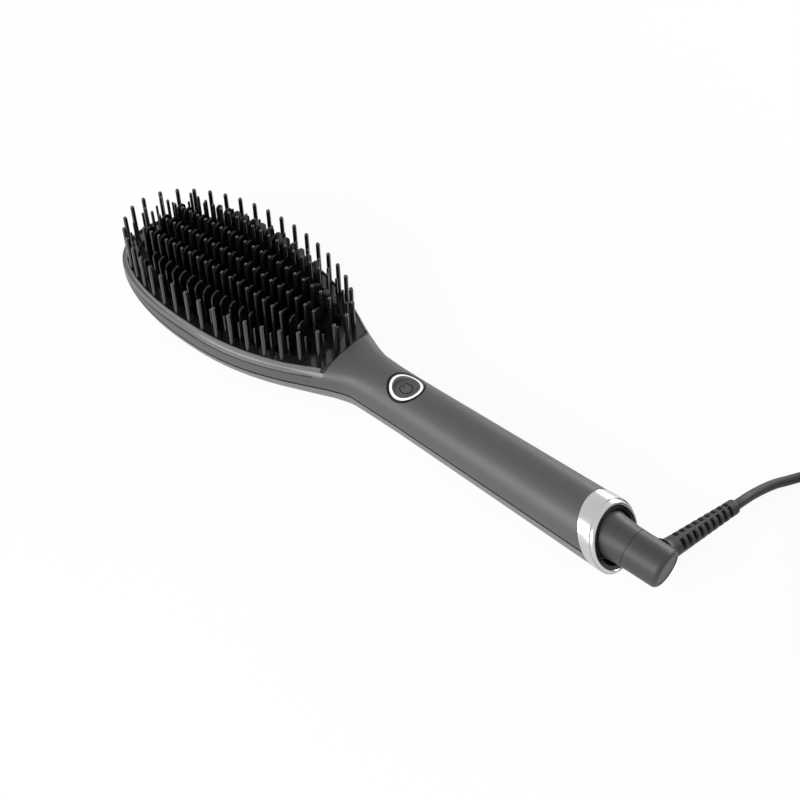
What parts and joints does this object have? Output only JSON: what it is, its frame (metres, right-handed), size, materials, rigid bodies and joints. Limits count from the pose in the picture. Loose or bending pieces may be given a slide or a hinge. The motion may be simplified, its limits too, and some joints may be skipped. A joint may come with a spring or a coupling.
{
  "type": "heated straightening hair brush",
  "caption": "Corded heated straightening brush with an oval pin field between thin hot fins, a lit power button and a swivelling mains lead.",
  "frame": {"origin": "centre of the brush's plan box, on the surface that its back lies on", "axes": "+X along the handle towards the lead, +Y across, +Z out of the pins"},
  "size_m": [0.4086, 0.1599, 0.0467],
  "materials": {
    "casing_upper": "soft-touch satin on the handle, glossy at the head",
    "casing_lower": "satin",
    "bezel": "polished",
    "pins": "glossy heat-resistant nylon",
    "heated_plate": "glossy ceramic coating on cast aluminium",
    "heater_element": "satin",
    "insulation": "polyimide film",
    "spring_steel": "satin",
    "mica": "matte",
    "screw": "zinc plated",
    "sensor": "glass-like bead",
    "fuse_case": "satin",
    "wire": "silicone",
    "wire_brown": "vinyl",
    "board": "solder mask",
    "component": "moulded",
    "chip": "moulded",
    "switch": "moulded",
    "plunger": "moulded",
    "led": "clear",
    "light_ring": "diffusing, lit",
    "button_housing": "glossy",
    "button": "satin",
    "end_ring": "polished",
    "swivel_black": "glossy",
    "swivel_grey": "satin",
    "spindle": "acetal",
    "contact": "satin",
    "cord": "satin vinyl",
    "tie": "matte",
    "plug": "satin vinyl",
    "plug_pin": "nickel plated"
  },
  "bodies": {
    "handset": {"upper_casing": "casing_upper", "lower_casing": "casing_lower", "head_bezel": "bezel", "long_pin_frame": "pins", "short_pin_frame": "pins", "centre_pin_carrier": "pins", "heater_plate": "heated_plate", "heater_elements": "heater_element", "element_insulator": "insulation", "heater_clamp": "spring_steel", "heat_shield": "mica", "heater_screws": "screw", "thermistor": "sensor", "thermal_fuse": "fuse_case", "heater_leads": "wire", "control_board": "board", "power_components": "component", "control_components": "chip", "board_screws": "screw", "tact_switch": "switch", "status_leds": "led", "button_housing": "button_housing", "light_ring": "light_ring", "casing_screws": "screw", "end_ring": "end_ring", "swivel_housing": "swivel_black", "swivel_neck": "swivel_grey", "contact_brushes": "contact", "supply_leads": "wire_brown"},
    "button": {"power_button": "button", "switch_plunger": "plunger"},
    "swivel": {"swivel_spindle": "spindle", "slip_rings": "contact", "retaining_clip": "spring_steel", "swivel_barrel": "swivel_grey", "barrel_cap": "swivel_grey", "barrel_leads": "wire_brown", "strain_relief": "cord", "cord": "cord", "cord_coil": "cord", "cord_tail": "cord", "cord_tie": "tie", "plug_body": "plug", "plug_pins": "plug_pin"}
  },
  "joints": [
    {"name": "button_press", "type": "slide", "parent": "handset", "child": "button", "axis": [0, 0, -1], "range_m": [0, 0.0005], "stiffness_N_per_m": 1500},
    {"name": "lead_swivel", "type": "hinge", "parent": "handset", "child": "swivel", "pos_m": [0.1293, 0, 0.0142], "axis": [1, 0, 0], "continuous": true}
  ]
}
